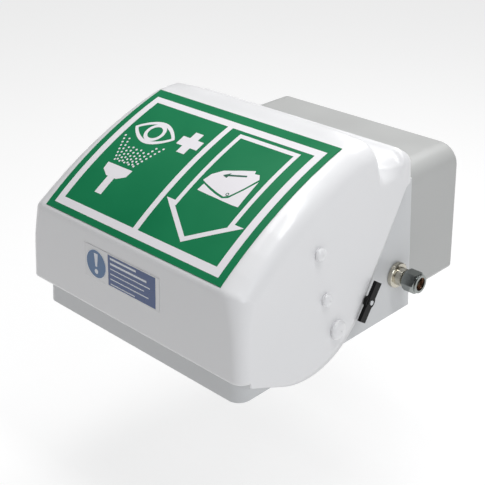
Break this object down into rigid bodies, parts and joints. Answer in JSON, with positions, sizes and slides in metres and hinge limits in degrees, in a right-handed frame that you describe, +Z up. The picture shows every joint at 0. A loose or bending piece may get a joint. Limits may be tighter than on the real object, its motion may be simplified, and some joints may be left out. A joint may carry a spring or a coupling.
{
  "type": "eyewash station",
  "caption": "Wall-mounted emergency eyewash basin with a swing-down hood that opens the water, twin spray heads, a flow lever and a safety sign.",
  "frame": {"origin": "centre of the four wall fixing holes, on the wall plane", "axes": "+Z up, +Y into the wall, -Y towards the user, +X to the inlet side"},
  "size_m": [0.3981, 0.421, 0.281],
  "materials": {
    "green_sign": "printed sheet, white artwork",
    "label": "printed film",
    "white_shell": "satin moulded shell",
    "base_shell": "satin moulded basin",
    "casing_shell": "satin moulded casing",
    "steel": "rolled and pressed steel",
    "zinc": "zinc plated",
    "chrome": "chrome plated",
    "nickel": "nickel plated brass",
    "brass": "plain brass",
    "copper": "drawn copper tube",
    "rubber": "moulded rubber",
    "seat": "machined seat ring",
    "black": "moulded black",
    "cap": "push-fit cap",
    "bush": "bearing plastic",
    "spray": "green moulded rose"
  },
  "bodies": {
    "body": {"bowl_base": "base_shell", "bulkhead_nut": "nickel", "bulkhead_washer": "rubber", "casing_bolts": "zinc", "casing_nuts": "zinc", "casing_screws": "zinc", "compression_nut": "chrome", "drain_strainer": "steel", "hood_buffers": "rubber", "hood_valve_body": "nickel", "hood_valve_insert": "brass", "hood_valve_seats": "seat", "inlet_bulkhead": "nickel", "inlet_elbow": "nickel", "inlet_olive": "copper", "manifold_gasket": "rubber", "manifold_nut": "nickel", "outlet_elbow": "nickel", "pivot_bush_left": "bush", "pivot_bush_right": "bush", "rear_casing": "casing_shell", "regulator_body": "nickel", "regulator_gland_nut": "nickel", "regulator_insert": "brass", "regulator_seats": "seat", "spray_head_left": "black", "spray_head_right": "black", "spray_manifold": "copper", "spray_rose_left": "spray", "spray_rose_right": "spray", "stop_pegs": "steel", "supply_tube_rear": "copper", "valve_link": "nickel", "wall_bracket": "steel", "waste_backnut": "steel", "waste_gasket": "rubber", "waste_outlet": "steel"},
    "hood": {"hood": "white_shell", "sign_sheet": "green_sign", "front_label": "label", "hinge_arm_right": "steel", "hinge_arm_left": "steel", "arm_bolts": "zinc", "bolt_caps": "cap", "pivot_caps": "cap", "pivot_collars": "steel", "pivot_stud_left": "steel", "stud_collar_left": "steel", "hood_valve_spindle": "steel", "hood_valve_ball": "chrome"},
    "regulator": {"regulator_handle": "black", "handle_screw": "zinc", "regulator_spindle": "brass", "regulator_ball": "chrome"}
  },
  "joints": [
    {"name": "hood_hinge", "type": "hinge", "parent": "body", "child": "hood", "pos_m": [0, -0.2672, -0.0505], "axis": [1, 0, 0], "range_deg": [0, 100]},
    {"name": "regulator_turn", "type": "hinge", "parent": "body", "child": "regulator", "pos_m": [0.149, -0.212, -0.037], "axis": [1, 0, 0], "range_deg": [-56, 34]}
  ]
}
